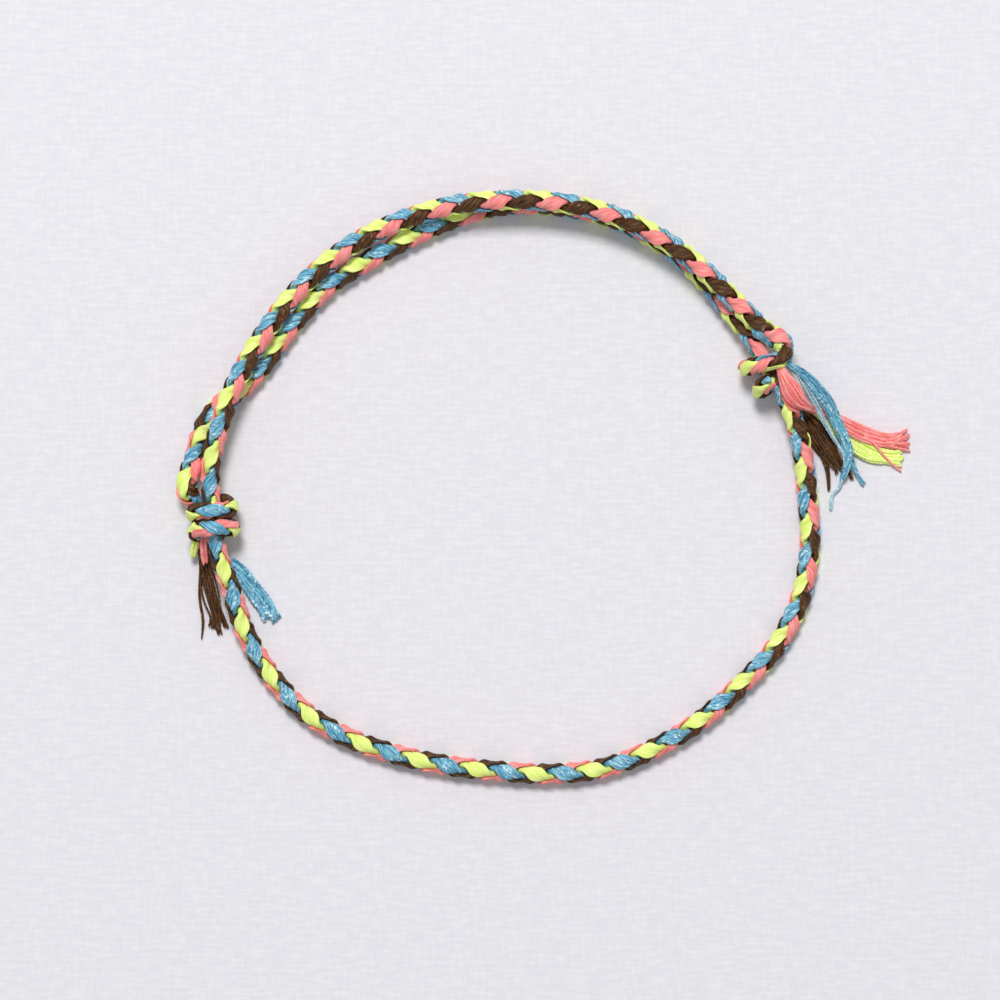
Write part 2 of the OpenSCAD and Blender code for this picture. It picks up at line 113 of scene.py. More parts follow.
# Angle on the loop, distance from its centre, lift off the floor, roll of the
# braid's face from the top to the inside, length of a turn, girth
LOOP = [
    (182.3, 30.75, 0.75, 4, 4.8, 0.93),
    (181.3, 31.1, 1.2, -17, 4.8, 1.08),
    (179.6, 31.12, 1.38, -36, 4.9, 1.12),
    (177.6, 30.9, 1.2, -40, 5.1, 1.08),
    (175.2, 30.6, 0.75, -25, 5.4, 1.02),
    (172.6, 30.45, 0.3, -3, 5.7, 1),
    (169.5, 30.2, 0, 18, 5.7, 1),
    (166, 29.6, 0, 30, 5.7, 1),
    (162.5, 28.6, 0, 22, 5.7, 1),
    (158.5, 27.35, 0, 0, 5.7, 1),
    (154, 26.6, 0, -15, 5.7, 1),
    (148, 26.3, 0, -20, 5.7, 1),
    (140, 26.2, 0, -20, 5.7, 1),
    (130, 26.25, 0, -20, 5.7, 1),
    (120, 26.0, 0, -20, 5.7, 1),
    (110, 26.3, 0, -20, 5.6, 1),
    (100, 27.0, 0, -20, 5.5, 1),
    (90, 27.9, 0, -30, 5.95, 1),
    (80, 28.4, 0, -45, 5.95, 1),
    (70, 28.8, 0, -60, 5.95, 1),
    (60, 29.0, 0, -75, 5.9, 1),
    (52, 29.0, 0, -85, 5.6, 1),
    (46, 28.9, 0.05, -90, 5.7, 1),
    (41, 28.75, 0.3, -90, 5.7, 0.97),
    (36, 28.74, 0.72, -90, 5.7, 0.92),
    (31, 28.95, 1.2, -95, 5.7, 0.87),
    (25.3, 29.1, 1.6, -100, 5.7, 0.85),
    (16.6, 29.75, 1.55, -115, 5.7, 0.88),
    (8, 30.25, 0.95, -130, 5.7, 0.97),
    (-1, 30.6, 0.35, -135, 5.8, 1),
    (-10, 31.4, 0.05, -135, 5.8, 1),
    (-20, 32.0, 0, -135, 5.9, 1),
    (-30, 31.9, 0, -140, 5.75, 1),
    (-40, 31.2, 0, -150, 5.75, 1),
    (-50, 30.8, 0, -160, 5.75, 1),
    (-60, 30.4, 0, -170, 5.75, 1),
    (-70, 30.0, 0, -175, 5.75, 1),
    (-80, 29.2, 0, -180, 5.75, 1),
    (-90, 28.5, 0, -180, 5.9, 1),
    (-100, 28.4, 0, -180, 5.9, 1),
    (-110, 28.7, 0, -180, 5.9, 1),
    (-120, 29.3, 0, -180, 5.9, 1),
    (-130, 29.8, 0, -180, 5.8, 1),
    (-140, 29.7, 0, -180, 5.8, 1),
    (-150, 29.3, 0.3, -180, 5.8, 1),
    (-159, 28.7, 0.95, -180, 5.8, 0.97),
    (-167.2, 28.8, 1.55, -180, 5.7, 0.88),
    (-175.2, 28.7, 1.6, -180, 5.7, 0.85),
    (-184.1, 28.8, 1.75, -185, 5.7, 0.9),
    (-190, 28.55, 2.05, -195, 5.7, 0.97),
    (-197, 28.3, 2.2, -215, 5.7, 1),
    (-205, 28.0, 2.0, -225, 5.7, 1),
    (-213, 27.85, 1.8, -225, 5.7, 1),
    (-221, 27.9, 1.65, -225, 5.7, 1),
    (-230, 28.0, 1.55, -225, 5.7, 1),
    (-240, 28.1, 1.45, -230, 5.7, 1),
    (-250, 28.1, 1.65, -235, 5.6, 1),
    (-260, 28.2, 2.0, -240, 5.5, 1),
    (-270, 28.3, 2.25, -250, 5.5, 1),
    (-280, 28.6, 2.25, -250, 5.5, 1),
    (-290, 29.0, 2.25, -250, 5.5, 1),
    (-300, 29.2, 2.25, -250, 5.5, 1),
    (-308, 29.35, 2.25, -255, 5.6, 1),
    (-315, 29.4, 2.4, -262, 5.6, 1),
    (-319.5, 29.5, 2.5, -268, 5.3, 1),
    (-323.2, 29.7, 2.54, -270, 5.0, 1),
    (-326.3, 29.95, 2.6, -274, 4.85, 1),
    (-328.8, 30.2, 2.63, -282, 4.85, 1.1),
    (-330.8, 30.68, 2.58, -290, 4.85, 1.18),
    (-332.9, 31.28, 2.5, -294, 4.85, 1.19),
]

# Columns as the left knot's
RIGHT_WRAPS = [
    (296, 0.3, 2.4, 264, 4.85, 1.18),
    (315, 0.72, 2.2, 255, 4.9, 1.1),
    (345, 0.55, 1.9, 262, 4.8, 1),
    (375, 0.2, 1.85, 285, 5.4, 1),
    (405, -0.12, 1.85, 325, 5.4, 1),
    (435, -0.25, 1.9, 358, 5.8, 0.98),
    (462, -0.32, 1.92, 390, 6.2, 0.94),
    (490, -0.25, 1.88, 428, 6.2, 0.88),
    (516, 0.05, 1.85, 472, 6.0, 0.82),
    (533, 0.7, 1.85, 512, 5.5, 0.78),
    (534, 1.5, 1.85, 535, 4.9, 0.78),
    (518, 2.1, 1.85, 540, 4.8, 0.84),
    (490, 2.4, 1.9, 540, 4.9, 0.92),
    (457, 2.35, 1.95, 540, 5.4, 1),
    (424, 2.15, 1.95, 540, 5.4, 1),
    (394, 2.02, 1.92, 540, 5.4, 1),
    (366, 1.95, 1.9, 540, 5.4, 1),
]


def unit(vectors):
    """Each vector divided by its length."""
    return vectors / np.linalg.norm(vectors, axis=-1, keepdims=True)


def smooth(x):
    """Soft step from 0 to 1: three times the square less twice the cube."""
    x = np.clip(x, 0, 1)
    return x * x * (3 - 2 * x)


def wrap_points(table, xy, way):
    """Rows of a knot as place, face, turn length and girth. A place is the knot's
    middle, moved along the core and out from it at the row's angle."""
    rows = np.array(table, float)
    angle, lean = np.radians(rows[:, 0:1]), np.radians(rows[:, 3:4])
    way = np.radians(way)
    along = np.array([np.cos(way), np.sin(way), 0])
    side = np.array([np.sin(way), -np.cos(way), 0])
    radial = side * np.sin(angle) + UP * np.cos(angle)
    place = np.array([*xy, KNOT_Z]) + along * rows[:, 1:2] + radial * rows[:, 2:3]
    face = radial * np.cos(lean) + along * np.sin(lean)
    return np.hstack([place, face, rows[:, 4:5], WRAP_GIRTH * rows[:, 5:6]])


def loop_points(table):
    """Rows of the loop in the same form, from angle and distance to place."""
    rows = np.array(table, float)
    angle, roll = np.radians(rows[:, 0:1]), np.radians(rows[:, 3:4])
    out = np.hstack([np.cos(angle), np.sin(angle), 0 * angle])
    place = out * rows[:, 1:2] + UP * (FLOOR_Z + rows[:, 2:3]) + np.array([LOOP_X, 0, 0])
    return np.hstack([place, UP * np.cos(roll) - out * np.sin(roll), rows[:, 4:6]])


ROUTE = np.vstack(
    [
        wrap_points(LEFT_WRAPS, LEFT_KNOT["xy"], LEFT_KNOT["way"]),
        loop_points(LOOP),
        wrap_points(RIGHT_WRAPS, RIGHT_KNOT["xy"], RIGHT_KNOT["way"]),
    ]
)


def slopes_of(rows, gaps):
    """Slope at each row: the slopes on its two sides, each weighted by the other's length."""
    steps = np.diff(rows, axis=0) / gaps[:, None]
    inner = steps[:-1] * gaps[1:, None] + steps[1:] * gaps[:-1, None]
    return np.vstack([steps[:1], inner / (gaps[1:] + gaps[:-1])[:, None], steps[-1:]])


# How far short of the last row the curve stops, and how far to each side of a place
# its way is measured, both in rows
LAST_BIT = 0.0001
LOOK_ASIDE = 0.02
GAPS = np.linalg.norm(np.diff(ROUTE[:, :3], axis=0), axis=1)
SLOPES = slopes_of(ROUTE, GAPS)
# Turns of the braid up to each row, from the mean length of a turn on its two sides
TURN_LENGTHS = ROUTE[:, 6]
STEPS = 2 * GAPS / (TURN_LENGTHS[1:] + TURN_LENGTHS[:-1])
TURNS = FIRST_TURN + np.concatenate([[0], np.cumsum(STEPS)])


def along_rows(rows, slopes, gaps, f):
    """Cubic curve through the rows, at fractional row numbers, with the given slopes.
    A number past the last row is brought back to just before it."""
    f = np.clip(f, 0, len(rows) - 1 - LAST_BIT)
    i = np.floor(f).astype(int)
    t = (f - i)[:, None]
    gap = gaps[i][:, None]
    rest = 1 - t
    return (
        rows[i] * (1 + 2 * t) * rest**2
        + slopes[i] * gap * t * rest**2
        + rows[i + 1] * t**2 * (3 - 2 * t)
        - slopes[i + 1] * gap * t**2 * rest
    )


def stations(turn):
    """Place, face, across and girth of the cord after a number of turns. The face
    leans on the route's own, made square to the way the cord runs."""
    f = np.interp(turn, TURNS, np.arange(len(TURNS)))
    here = along_rows(ROUTE, SLOPES, GAPS, f)
    after = along_rows(ROUTE, SLOPES, GAPS, f + LOOK_ASIDE)
    before = along_rows(ROUTE, SLOPES, GAPS, f - LOOK_ASIDE)
    way = unit(after[:, :3] - before[:, :3])
    lean = here[:, 3:6]
    face = unit(lean - way * (lean * way).sum(1, keepdims=True))
    return here[:, :3], face, np.cross(way, face), here[:, 7:8]


# Meshes


def tube_faces(rings, across, along):
    """Faces of one closed tube and the yarn's measures at their corners: quads that
    join ring to ring, then triangles from the middle of each end ring. Points count
    ring by ring, the two middles last."""
    count, sides = rings.shape[:2]
    u = np.linspace(*across, sides + 1)
    i, j = np.meshgrid(np.arange(count - 1), np.arange(sides), indexing="ij")
    beside = (j + 1) % sides
    corners = [i * sides + j, (i + 1) * sides + j, (i + 1) * sides + beside, i * sides + beside]
    measures = [(u[j], along[i]), (u[j], along[i + 1]), (u[j + 1], along[i + 1]), (u[j + 1], along[i])]
    quads = np.stack(corners, -1).reshape(-1, 4)
    quad_uv = np.stack([np.stack(m, -1) for m in measures], -2).reshape(-1, 2)
    j = np.arange(sides)
    beside = (j + 1) % sides
    end = (count - 1) * sides
    start_cap = np.stack([count * sides + 0 * j, j, beside], -1)
    end_cap = np.stack([count * sides + 1 + 0 * j, end + beside, end + j], -1)
    u = np.stack([u[j], u[j], u[j + 1]], -1)
    cap_uv = [np.stack([u, np.full_like(u, v)], -1).reshape(-1, 2) for v in (along[0], along[-1])]
    return quads, np.vstack([start_cap, end_cap]), quad_uv, np.vstack(cap_uv)


def tube_mesh(name, tubes, material):
    """One mesh of closed tubes. Each tube is rings of points with the yarn's own
    measures: the first and last thread round the ring, and mm along it."""
    every_ring = [rings for rings, _, _ in tubes]
    places = [np.vstack([r.reshape(-1, 3), r[0].mean(0), r[-1].mean(0)]) for r in every_ring]
    bases = np.cumsum([0] + [len(place) for place in places[:-1]])
    faces = [tube_faces(*tube) for tube in tubes]
    quads = np.vstack([base + part[0] for base, part in zip(bases, faces)])
    caps = np.vstack([base + part[1] for base, part in zip(bases, faces)])
    uv = np.vstack([part[2] for part in faces] + [part[3] for part in faces])
    points = (np.vstack(places) - MIDDLE) * MM
    corners = np.concatenate([quads.ravel(), caps.ravel()])
    sizes = np.concatenate([np.full(len(quads), 4), np.full(len(caps), 3)])
    mesh = bpy.data.meshes.new(name)
    mesh.vertices.add(len(points))
    mesh.vertices.foreach_set("co", points.astype(np.float32).ravel())
    mesh.loops.add(len(corners))
    mesh.loops.foreach_set("vertex_index", corners.astype(np.int32))
    mesh.polygons.add(len(sizes))
    mesh.polygons.foreach_set("loop_start", (np.cumsum(sizes) - sizes).astype(np.int32))
    mesh.update(calc_edges=True)
    mesh.polygons.foreach_set("use_smooth", np.ones(len(sizes), bool))
    layer = mesh.uv_layers.new(name="yarn")
    layer.data.foreach_set("uv", uv.astype(np.float32).ravel())
    mesh.materials.append(material)
    mesh.validate()
    piece = bpy.data.objects.new(name, mesh)
    bpy.context.collection.objects.link(piece)
    return piece


def distance_along(places):
    """Distance along a row of places, from its first."""
    steps = np.linalg.norm(np.diff(places, axis=0), axis=1)
    return np.concatenate([[0], np.cumsum(steps)])


# Strands

# Corners of a strand's section in a cord of radius 1: out through the top, across.
# Over its neighbour it is a wide cap, and a sixth of a turn on it is the block
# beneath the next, then that block mirrored.
CAP = [(1.00, 0), (0.80, 0.60), (0.68, 0.68), (0.68, -0.68), (0.80, -0.60)]
BLOCK = [(0.78, 0.60), (-0.32, 0.60), (-0.32, 0.03), (0.68, 0.03), (0.97, 0.05)]
# Turns by which the second pair follows the first
PAIR_LAG = 0.25
RINGS_A_TURN = 28
POINTS_ROUND = 48
# Size of the corners' figure, how much the strand lingers, and the power of the
# route's girth that it follows, so that the strands still fill a squeezed turn
PLUMP = 1.19
LINGER = 0.105
KNOT_FILL = 0.55
# Threads round a strand, their depth as a share of the cord's radius, the share of it
# that is sunk in, their turns round the strand in each turn of the braid
THREADS = 12
THREAD_DEPTH = 0.024
THREAD_SUNK = 0.6
THREAD_TWIST = 0.5
# Step round the outline over which its normal is taken
NORMAL_STEP = 0.004
# Turns over which an end closes, and the least square of its size
END_TURN = 0.10
END_LEAST = 0.01
# Nothing of the yarn is lower than this
FLOOR_GAP = 0.01


def corner_waves():
    """Weights of three waves for each corner, through the cap, the block and the
    mirrored block: one wave a turn as cosine and sine, and three a turn as cosine."""
    mirrored = [(-BLOCK[(5 - j) % 5][0], BLOCK[(5 - j) % 5][1]) for j in range(5)]
    keys = np.array([CAP, BLOCK, mirrored])
    sixth = np.arange(3) * np.pi / 3
    waves = np.stack([np.cos(sixth), np.sin(sixth), np.cos(3 * sixth)], 1)
    return np.einsum("wk,kjc->wjc", np.linalg.inv(waves), keys)


WAVES = corner_waves()


def outlines(turn, v):
    """Closed outline of a strand's section at each turn, at places v from 0 to 1
    round it. Each corner goes round as its waves say, and the outline is the
    rounded curve that those five corners draw, halfway points of its sides on it.
    The strand lingers where it lies over and where it lies under its neighbours."""
    angle = 2 * np.pi * (turn - LINGER / 2 * np.sin(4 * np.pi * turn))
    waves = np.stack([np.cos(angle), np.sin(angle), np.cos(3 * angle)], 1)
    corners = np.einsum("tw,wjc->tjc", waves, WAVES)
    middle = corners.mean(1, keepdims=True)
    corners = middle + (corners - middle) * PLUMP
    place = (v % 1) * 5
    j = np.floor(place).astype(int)
    t = (place - j)[..., None]
    row = np.arange(len(turn))[:, None]
    return (
        0.5 * (1 - t) ** 2 * corners[row, (j - 1) % 5]
        + (0.5 + t * (1 - t)) * corners[row, j % 5]
        + 0.5 * t**2 * corners[row, (j + 1) % 5]
    )


def strand(second_pair, far_side):
    """Rings of one strand, with its measures round and along. Its outline turns with
    the cord, and is pushed out and in along its own normal into round threads, which
    wind slowly about the strand. Its ends close in a quarter circle."""
    lag = PAIR_LAG if second_pair else 0
    turn = np.arange(TURNS[0], TURNS[-1], 1 / RINGS_A_TURN)
    place, face, across, girth = stations(turn)
    girth = girth**KNOT_FILL
    share = np.arange(POINTS_ROUND) / POINTS_ROUND
    v = share[None, :] + THREAD_TWIST * turn[:, None]
    shape = outlines(turn - lag, v)
    tangent = outlines(turn - lag, v + NORMAL_STEP) - outlines(turn - lag, v - NORMAL_STEP)
    normal = unit(np.stack([tangent[..., 1], -tangent[..., 0]], -1))
    rounds = np.abs(np.sin(np.pi * THREADS * share))[None, :, None]
    shape = shape + normal * (rounds - THREAD_SUNK) * THREAD_DEPTH
    ends = np.minimum(turn - turn[0], turn[-1] - turn) / END_TURN
    close = np.sqrt(np.clip(1 - (1 - np.clip(ends, 0, 1)) ** 2, END_LEAST, 1))[:, None, None]
    middle = shape.mean(1, keepdims=True)
    shape = middle + (shape - middle) * close
    shape = shape * (-1 if far_side else 1) * girth[:, :, None] * CORD_RADIUS
    if second_pair:
        shape = shape[..., ::-1]
    rings = place[:, None] + face[:, None] * shape[..., :1] + across[:, None] * shape[..., 1:]
    rings[..., 2] = np.maximum(rings[..., 2], FLOOR_GAP)
    along = distance_along(rings.mean(1))
    if second_pair:
        rings = rings[:, ::-1]
    return rings, (0, THREADS), along


# Loose threads

# Length of a step along a thread, fewest steps, points round it, length of one turn
PLY_STEP = 0.13
PLY_STEPS = 12
PLY_SIDES = 10
PLY_TURN = 0.9
# Roundness of a thread's ends: length added to each, and the least square of their size
BLUNT = 0.02
# How far before its lock's first row a thread starts, in the knot or the bundle
ROOT = 1.1
# In its own radii, how far a thread's middle stays inside the lock's edge, and how
# high above the floor it lies at least
INSET = 0.6
LIFT = 1.1
# Share of a lock's length where its tip starts
TIP = 0.6
# Least half thickness between the layers, and how far a thread leaves its own layer
THIN = 0.02
LAYER_STRAY = 0.15
# Sideways ripple of a thread, and its mean count of half waves
RIPPLE = 0.07
HALF_WAVES = 3
# Threads begin at different places of the yarn's pattern, up to this far along it
PATTERN_SHIFT = 50
# Measure round a silvery thread, past any that the strands use; the shader paints glint all along it
SILVERY = (20, 22)


def thread(path, radius, lobe, phase):
    """One two-ply thread along a path: a tube whose ring has two lobes, turning as
    it goes, so that it looks like two plies twisted together. With it comes the
    distance along it."""
    gaps = np.linalg.norm(np.diff(path, axis=0), axis=1)
    along = distance_along(path)
    length = along[-1]
    steps = np.linspace(0, length, max(PLY_STEPS, int(length / PLY_STEP)))
    here = along_rows(path, slopes_of(path, gaps), gaps, np.interp(steps, along, np.arange(len(along))))
    way = unit(np.gradient(here, axis=0))
    across = unit(np.cross(UP, way))
    lift = np.cross(way, across)
    angle = 2 * np.pi * np.arange(PLY_SIDES) / PLY_SIDES
    spin = 2 * np.pi * (steps / PLY_TURN + phase)
    lobes = 1 + lobe * np.cos(2 * (angle[None, :] - spin[:, None]))
    to_end = np.minimum(steps + BLUNT, length - steps + BLUNT)
    taper = np.sqrt(np.clip(to_end / (2 * radius), BLUNT, 1))
    size = radius * lobes * taper[:, None]
    rings = (
        here[:, None]
        + across[:, None] * (size * np.cos(angle))[..., None]
        + lift[:, None] * (size * np.sin(angle))[..., None]
    )
    rings[..., 2] = np.maximum(rings[..., 2], FLOOR_GAP)
    return rings, steps


def lock(rows, threads, radius, seed, lobe=0.16, layers=2, splay=0.8, short=0.12, stray=0.25, silver=False):
    """Threads that fill a lock side by side, from a little inside the knot. Each
    thread keeps its share of the lock's width and thickness, wanders up to stray to
    the side and ends up to short of the length early. The tip stays at least splay
    of the full width. Lobe is the depth of a thread's plies, layers is how many
    threads lie above each other, and silver threads take the silvery measure."""
    rng = np.random.default_rng(seed)
    rows = np.array(rows, float)
    middle, half_wide, half_thick = rows[:, :3], rows[:, 3:4], rows[:, 4:5]
    way = unit(np.gradient(middle, axis=0))
    across = unit(np.cross(UP, way))
    lift = np.cross(way, across)
    share = np.linspace(0, 1, len(rows))[:, None]
    tip = smooth((share - TIP) / (1 - TIP))
    reach = np.maximum(half_wide, splay * half_wide.max() * tip) - radius * INSET
    depth = np.maximum(half_thick - radius * INSET, THIN)
    tubes = []
    for k in range(threads):
        side = -1 + 2 * (k + 0.5) / threads + rng.uniform(-1, 1) * stray * share
        level = ((k % layers) + 0.5) / layers * 2 - 1 + rng.uniform(-LAYER_STRAY, LAYER_STRAY)
        size, waves = rng.uniform(-1, 1, 2)
        ripple = size * RIPPLE * np.sin(np.pi * share * (HALF_WAVES + waves))
        path = middle + across * (side * reach + ripple) + lift * level * depth
        path[0] -= way[0] * ROOT
        gaps = np.linalg.norm(np.diff(path, axis=0), axis=1)
        stop = (len(rows) - 1) * (1 - short * rng.uniform(0, 1))
        path = along_rows(path, slopes_of(path, gaps), gaps, np.linspace(0, stop, 2 * len(rows)))
        path[:, 2] = np.maximum(path[:, 2], radius * LIFT)
        rings, along = thread(path, radius, lobe, rng.uniform())
        tubes.append((rings, SILVERY if silver else (0, 2), along + PATTERN_SHIFT * rng.uniform()))
    return tubes


# Each tail's yarn and its locks. Columns of a lock: x, y, z, half width, half thickness
TAILS = {
    "left_blue_tail": (
        "blue",
        [
            (
                dict(threads=5, radius=0.20, seed=1, lobe=0.24, layers=1, splay=0.9, short=0.04, stray=0.1),
                [
                    (-32.9, -6.9, 0.40, 0.25, 0.20),
                    (-32.0, -7.3, 0.42, 0.50, 0.25),
                    (-30.6, -8.1, 0.45, 0.75, 0.30),
                    (-28.9, -10.2, 0.45, 0.95, 0.30),
                    (-27.5, -12.0, 0.42, 0.95, 0.27),
                    (-26.6, -13.1, 0.35, 0.55, 0.20),
                    (-26.3, -13.5, 0.30, 0.20, 0.12),
                ],
            ),
            (
                dict(threads=3, radius=0.17, seed=21, lobe=0.24, layers=1),
                [
                    (-28.6, -10.8, 0.45, 0.60, 0.26),
                    (-27.9, -12.4, 0.40, 0.50, 0.24),
                    (-27.4, -13.8, 0.32, 0.15, 0.12),
                ],
            ),
        ],
    ),
    "left_yellow_tail": (
        "yellow",
        [
            (
                dict(threads=5, radius=0.13, seed=2, splay=0.6),
                [
                    (-34.4, -5.8, 2.05, 0.28, 0.22),
                    (-34.5, -6.1, 1.90, 0.42, 0.30),
                    (-34.6, -6.8, 1.50, 0.38, 0.28),
                    (-34.7, -7.3, 1.20, 0.15, 0.12),
                ],
            ),
        ],
    ),
    "left_pink_tail": (
        "pink",
        [
            (
                dict(threads=5, radius=0.13, seed=3, splay=0.6),
                [
                    (-33.55, -5.6, 2.60, 0.28, 0.24),
                    (-33.55, -6.0, 2.50, 0.42, 0.30),
                    (-33.5, -7.0, 2.00, 0.38, 0.30),
                    (-33.4, -8.0, 1.60, 0.14, 0.12),
                ],
            ),
        ],
    ),
    "left_brown_tail": (
        "brown",
        [
            (
                dict(threads=12, radius=0.09, seed=4),
                [
                    (-33.8, -7.0, 0.75, 0.35, 0.30),
                    (-33.6, -7.8, 0.75, 0.65, 0.40),
                    (-33.4, -9.2, 0.70, 0.85, 0.40),
                    (-32.9, -11.6, 0.55, 0.90, 0.35),
                    (-32.6, -13.2, 0.45, 0.55, 0.25),
                    (-32.7, -14.5, 0.33, 0.15, 0.12),
                ],
            ),
            (
                dict(threads=2, radius=0.08, seed=5, layers=1, splay=0.3),
                [
                    (-34.0, -9.6, 0.60, 0.35, 0.30),
                    (-34.1, -11.2, 0.45, 0.20, 0.20),
                    (-33.8, -13.6, 0.35, 0.16, 0.16),
                    (-33.9, -15.4, 0.30, 0.12, 0.10),
                ],
            ),
            (
                dict(threads=5, radius=0.08, seed=6),
                [
                    (-32.6, -11.2, 0.55, 0.40, 0.28),
                    (-31.9, -13.0, 0.40, 0.30, 0.22),
                    (-31.3, -14.5, 0.30, 0.15, 0.12),
                ],
            ),
            (
                dict(threads=5, radius=0.08, seed=7),
                [
                    (-32.7, -12.0, 0.50, 0.40, 0.28),
                    (-32.4, -13.6, 0.40, 0.28, 0.20),
                    (-32.1, -15.0, 0.30, 0.12, 0.10),
                ],
            ),
        ],
    ),
    "right_blue_tail": (
        "blue",
        [
            (
                dict(threads=18, radius=0.10, seed=8, layers=3, splay=0.2, short=0.12),
                [
                    (25.1, 11.6, 3.60, 0.28, 0.24),
                    (26.25, 10.8, 3.35, 0.48, 0.32),
                    (27.45, 9.5, 2.95, 0.64, 0.35),
                    (28.55, 8.1, 2.50, 0.68, 0.36),
                    (29.4, 6.4, 2.00, 0.62, 0.35),
                    (30.25, 4.7, 1.70, 0.52, 0.34),
                    (30.7, 3.0, 1.45, 0.46, 0.30),
                    (30.4, 1.6, 1.00, 0.34, 0.24),
                    (29.9, 0.4, 0.60, 0.24, 0.18),
                ],
            ),
            (
                dict(
                    threads=4, radius=0.07, seed=17, lobe=0.3, splay=0.1, short=0.05, stray=0.4, silver=True
                ),
                [
                    (25.4, 11.2, 3.55, 0.20, 0.20),
                    (26.1, 10.0, 3.15, 0.30, 0.22),
                    (27.0, 8.5, 2.65, 0.34, 0.24),
                    (27.95, 6.7, 2.10, 0.30, 0.24),
                    (29.0, 4.9, 1.75, 0.22, 0.22),
                    (30.1, 3.1, 1.45, 0.20, 0.20),
                    (30.4, 1.6, 1.05, 0.20, 0.18),
                ],
            ),
            (
                dict(threads=3, radius=0.08, seed=18, splay=0.3, short=0.1, silver=True),
                [
                    (30.5, 2.2, 1.20, 0.22, 0.20),
                    (30.1, 1.0, 0.75, 0.20, 0.16),
                    (29.85, -0.1, 0.50, 0.16, 0.14),
                    (29.1, -1.0, 0.35, 0.18, 0.12),
                    (28.95, -2.0, 0.28, 0.20, 0.12),
                    (28.95, -2.8, 0.22, 0.12, 0.10),
                ],
            ),
            (
                dict(threads=5, radius=0.08, seed=9, splay=1.0),
                [
                    (30.8, 3.0, 1.40, 0.35, 0.26),
                    (31.3, 1.6, 0.90, 0.26, 0.20),
                    (31.8, 0.7, 0.50, 0.22, 0.18),
                    (32.3, -0.1, 0.30, 0.20, 0.10),
                ],
            ),
        ],
    ),
    "right_yellow_tail": (
        "yellow",
        [
            (
                dict(threads=12, radius=0.14, seed=10, splay=0.9),
                [
                    (27.7, 7.0, 1.00, 0.25, 0.20),
                    (29.1, 5.75, 0.80, 0.50, 0.26),
                    (30.4, 4.75, 0.62, 0.80, 0.28),
                    (31.4, 4.05, 0.55, 0.95, 0.28),
                    (33.1, 3.1, 0.45, 0.95, 0.26),
                    (34.7, 2.85, 0.38, 0.75, 0.24),
                    (35.7, 2.95, 0.33, 0.35, 0.20),
                    (36.3, 3.1, 0.30, 0.12, 0.10),
                ],
            ),
            (
                dict(threads=5, radius=0.13, seed=11),
                [
                    (33.6, 2.8, 0.42, 0.60, 0.25),
                    (35.0, 2.5, 0.36, 0.45, 0.22),
                    (36.2, 2.3, 0.30, 0.12, 0.10),
                ],
            ),
        ],
    ),
    "right_pink_tail": (
        "pink",
        [
            (
                dict(threads=12, radius=0.15, seed=12, layers=3, splay=0.6),
                [
                    (23.9, 11.1, 4.35, 0.28, 0.24),
                    (24.15, 10.55, 4.50, 0.66, 0.42),
                    (24.7, 9.6, 4.45, 0.95, 0.50),
                    (25.45, 8.5, 4.15, 0.86, 0.48),
                    (26.5, 7.8, 3.10, 0.42, 0.32),
                    (27.2, 7.5, 1.95, 0.36, 0.28),
                    (28.3, 7.2, 1.35, 0.36, 0.26),
                    (30.0, 6.35, 1.10, 0.60, 0.30),
                    (31.2, 5.65, 0.97, 0.80, 0.30),
                    (33.2, 4.85, 0.78, 0.80, 0.28),
                    (34.9, 4.6, 0.60, 0.70, 0.26),
                    (36.0, 5.0, 0.45, 0.45, 0.22),
                    (37.16, 5.65, 0.30, 0.12, 0.10),
                ],
            ),
            (
                dict(threads=5, radius=0.13, seed=13, splay=1.0),
                [
                    (33.2, 4.7, 0.76, 0.60, 0.28),
                    (35.0, 4.1, 0.55, 0.55, 0.25),
                    (36.2, 3.9, 0.42, 0.45, 0.22),
                    (37.0, 3.7, 0.30, 0.12, 0.10),
                ],
            ),
            (
                dict(threads=2, radius=0.08, seed=19, layers=1, splay=0.5),
                [
                    (32.4, 4.9, 1.00, 0.12, 0.10),
                    (33.4, 4.0, 0.95, 0.10, 0.10),
                    (34.3, 2.9, 0.85, 0.10, 0.10),
                    (35.2, 2.0, 0.50, 0.10, 0.10),
                    (36.2, 1.3, 0.20, 0.14, 0.08),
                ],
            ),
        ],
    ),
    "right_brown_tail": (
        "brown",
        [
            (
                dict(threads=24, radius=0.09, seed=14, layers=3, splay=0.9, short=0.2),
                [
                    (25.7, 7.6, 0.65, 0.30, 0.25),
                    (26.6, 6.6, 0.72, 0.70, 0.36),
                    (27.6, 5.1, 0.72, 1.15, 0.42),
                    (28.65, 3.5, 0.60, 1.08, 0.38),
                    (29.2, 2.65, 0.50, 0.80, 0.32),
                    (29.7, 1.95, 0.42, 0.45, 0.24),
                    (30.1, 1.4, 0.32, 0.12, 0.10),
                ],
            ),
            (
                dict(threads=4, radius=0.08, seed=15, splay=0.4),
                [
                    (28.1, 3.0, 0.52, 0.40, 0.28),
                    (28.6, 1.6, 0.40, 0.28, 0.22),
                    (28.8, -0.9, 0.30, 0.12, 0.10),
                ],
            ),
            (
                dict(threads=4, radius=0.08, seed=16, splay=0.4),
                [
                    (29.5, 2.6, 0.50, 0.40, 0.28),
                    (30.6, 1.6, 0.40, 0.26, 0.20),
                    (31.2, 0.4, 0.30, 0.10, 0.10),
                ],
            ),
        ],
    ),
}

# Materials


# Noise patterns on the yarn and the cloth: stretch over two measures, scale, detail
TONE = (1.0, 0.6, 1.4, 2.0)
FIBRE = (5.0, 0.9, 1.6, 3.0)
CLUSTER = (0.5, 0.5, 1.0, 2.0)
WARP = (500.0, 2600.0, 1.0, 2.0)
WEFT = (2600.0, 700.0, 1.0, 2.0)
